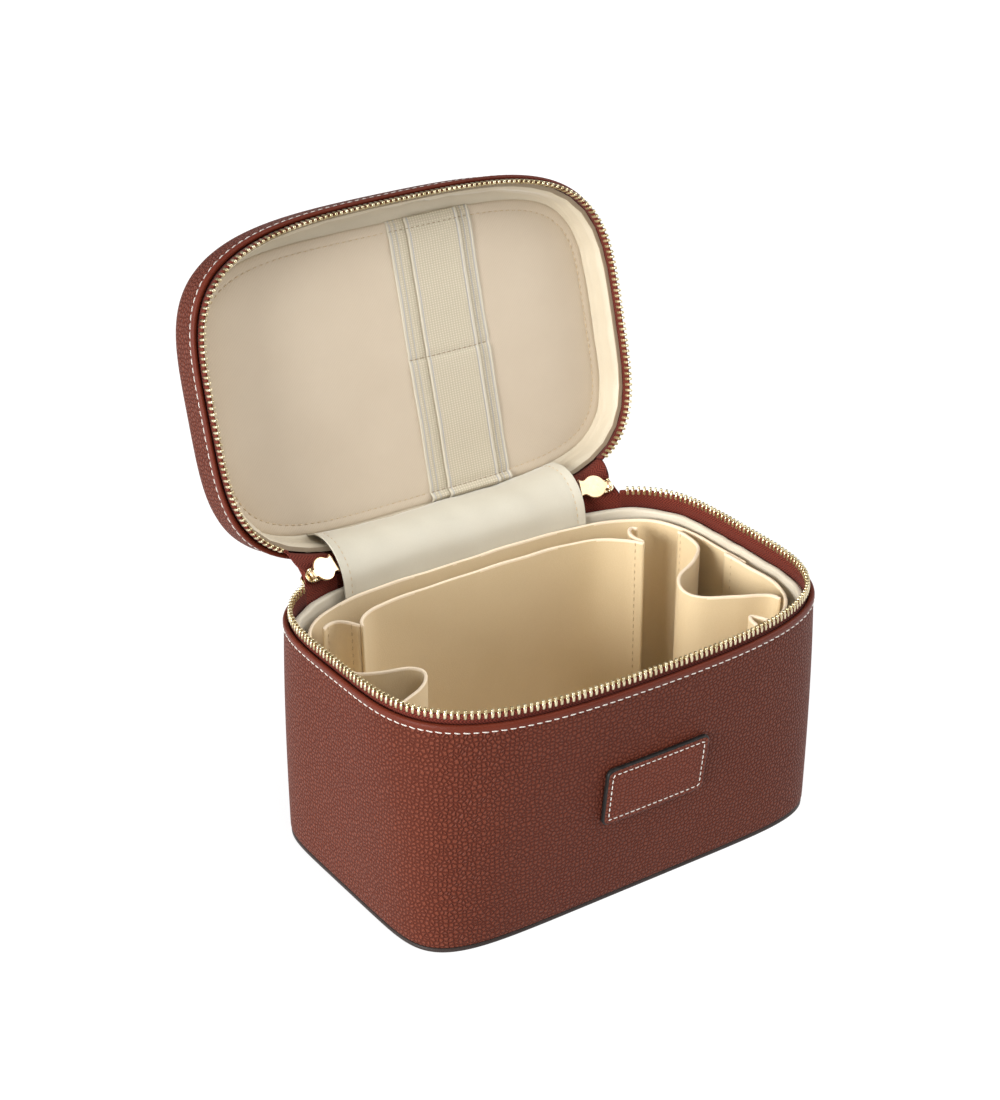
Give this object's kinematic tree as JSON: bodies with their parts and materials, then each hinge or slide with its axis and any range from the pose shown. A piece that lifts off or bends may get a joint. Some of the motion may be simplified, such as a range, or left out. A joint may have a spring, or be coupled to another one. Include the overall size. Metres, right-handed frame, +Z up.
{
  "type": "jewellery case",
  "caption": "Zip-round leather jewellery case with a hinged lid, shown open, elastic bands in the lid and a loose divider insert.",
  "frame": {"origin": "middle of the bottom face, on the surface it stands on", "axes": "+X along the hinge to the right seen from the front, -Y the front with the label patch, +Z up"},
  "size_m": [0.2248, 0.2274, 0.2638],
  "materials": {
    "leather_pebbled": "pebbled grain, satin",
    "leather_smooth": "smooth, satin",
    "leather_smooth_dark": "smooth with a painted edge",
    "board": "grey board, matt",
    "thread": "waxed thread",
    "zip_tape": "woven herringbone tape",
    "zip_metal": "pale gold, polished",
    "pull_metal": "light gold, polished",
    "lining": "satin",
    "panel_fabric": "fine twill",
    "elastic": "woven elastic",
    "insert_sheet": "fine-grained coated sheet, matt"
  },
  "bodies": {
    "base": {"base_bottom_panel": "leather_smooth_dark", "base_floor_board": "board", "base_wall_board": "board", "base_leather": "leather_pebbled", "base_rim_binding": "leather_smooth", "base_rim_stitching": "thread", "base_zip_tape": "zip_tape", "base_zip_teeth": "zip_metal", "base_lining": "lining", "label_patch": "leather_pebbled", "label_stitching": "thread", "zip_tape_ends": "zip_tape", "hinge_leather": "leather_pebbled", "hinge_gusset": "lining"},
    "lid": {"lid_leather": "leather_pebbled", "lid_board": "board", "lid_rim_binding": "leather_smooth", "lid_rim_stitching": "thread", "lid_zip_tape": "zip_tape", "lid_zip_teeth": "zip_metal", "lid_lining": "lining", "lid_panel": "panel_fabric", "lid_panel_stitching": "thread", "elastic_wide": "elastic", "elastic_narrow": "elastic", "elastic_stitching": "thread"},
    "slider_left": {"slider_left": "zip_metal"},
    "slider_right": {"slider_right": "zip_metal"},
    "pull_left": {"pull_left": "pull_metal"},
    "pull_right": {"pull_right": "pull_metal"},
    "organizer": {"organizer_floor": "insert_sheet", "organizer_wall": "insert_sheet", "organizer_back_divider": "insert_sheet", "organizer_left_link": "insert_sheet", "organizer_right_link": "insert_sheet", "organizer_left_loop": "insert_sheet", "organizer_right_pocket": "insert_sheet", "organizer_front_tab": "insert_sheet", "organizer_stitching": "thread"}
  },
  "joints": [
    {"name": "lid_hinge", "type": "hinge", "parent": "base", "child": "lid", "pos_m": [0, 0.0745, 0.1174], "axis": [-1, 0, 0], "range_deg": [-105.8, 0], "deforming": ["zip_tape_ends", "hinge_leather", "hinge_gusset"]},
    {"name": "slider_left_travel", "type": "slide", "parent": "base", "child": "slider_left", "axis": [-0.9466, -0.3223, 0], "range_m": [0, 0.002]},
    {"name": "slider_right_travel", "type": "slide", "parent": "base", "child": "slider_right", "axis": [0.9466, -0.3223, 0], "range_m": [0, 0.002]},
    {"name": "pull_left_swing", "type": "hinge", "parent": "slider_left", "child": "pull_left", "pos_m": [-0.08145, 0.06668, 0.1188], "axis": [0.2279, -0.6694, -0.7071], "range_deg": [0, 90]},
    {"name": "pull_right_swing", "type": "hinge", "parent": "slider_right", "child": "pull_right", "pos_m": [0.08145, 0.06668, 0.1188], "axis": [0.2279, 0.6694, 0.7071], "range_deg": [0, 90]},
    {"name": "organizer_lift", "type": "slide", "parent": "base", "child": "organizer", "axis": [0, 0, 1], "range_m": [0, 0.14]}
  ]
}
